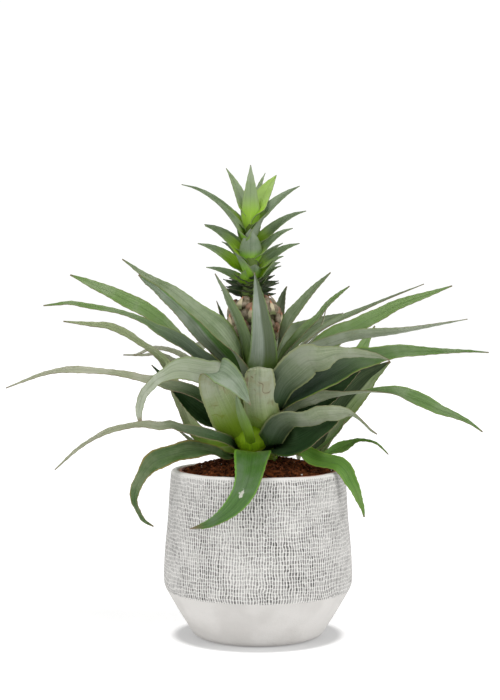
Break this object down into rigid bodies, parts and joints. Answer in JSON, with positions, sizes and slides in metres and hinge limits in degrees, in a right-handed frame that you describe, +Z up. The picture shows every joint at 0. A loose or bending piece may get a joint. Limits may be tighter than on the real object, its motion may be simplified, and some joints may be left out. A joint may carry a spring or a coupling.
{
  "type": "potted pineapple plant",
  "caption": "Ornamental pineapple plant with arching strap leaves, a small crowned fruit on a stalk, in a nursery pot inside a textured ceramic cover pot.",
  "frame": {"origin": "centre of the flat underside of the ceramic cover pot", "axes": "+Z up along the cover pot's axis, +X to the right and -Y towards the viewer of the plant's front"},
  "size_m": [0.3895, 0.2354, 0.38],
  "materials": {
    "ceramic": "matte",
    "nursery_plastic": "satin",
    "potting_soil": "matte",
    "stem": "satin",
    "leaf": "satin",
    "fruit_skin": "matte",
    "crown_leaf": "satin"
  },
  "bodies": {
    "root": {"pot": "ceramic", "grow_pot": "nursery_plastic", "soil": "potting_soil", "stem": "stem", "leaf_front_1": "leaf", "leaf_front_2": "leaf", "leaf_front_3": "leaf", "leaf_front_4": "leaf", "leaf_front_5": "leaf", "leaf_left_1": "leaf", "leaf_left_2": "leaf", "leaf_left_3": "leaf", "leaf_left_4": "leaf", "leaf_left_5": "leaf", "leaf_left_6": "leaf", "leaf_left_7": "leaf", "leaf_left_8": "leaf", "leaf_left_9": "leaf", "leaf_left_10": "leaf", "leaf_left_11": "leaf", "leaf_left_12": "leaf", "leaf_left_13": "leaf", "leaf_left_14": "leaf", "leaf_left_15": "leaf", "leaf_right_1": "leaf", "leaf_right_2": "leaf", "leaf_right_3": "leaf", "leaf_right_4": "leaf", "leaf_right_5": "leaf", "leaf_right_6": "leaf", "leaf_right_7": "leaf", "leaf_right_8": "leaf", "leaf_right_9": "leaf", "leaf_right_10": "leaf", "leaf_right_11": "leaf", "leaf_right_12": "leaf", "leaf_right_13": "leaf", "leaf_right_14": "leaf", "leaf_right_15": "leaf", "leaf_right_16": "leaf", "leaf_right_17": "leaf", "leaf_right_18": "leaf", "leaf_right_19": "leaf", "leaf_back_1": "leaf", "leaf_back_2": "leaf", "leaf_back_3": "leaf", "leaf_back_4": "leaf", "leaf_back_5": "leaf", "leaf_back_6": "leaf", "leaf_back_7": "leaf", "leaf_back_8": "leaf", "leaf_back_9": "leaf", "leaf_back_10": "leaf", "fruit": "fruit_skin", "crown": "crown_leaf"}
  },
  "joints": []
}
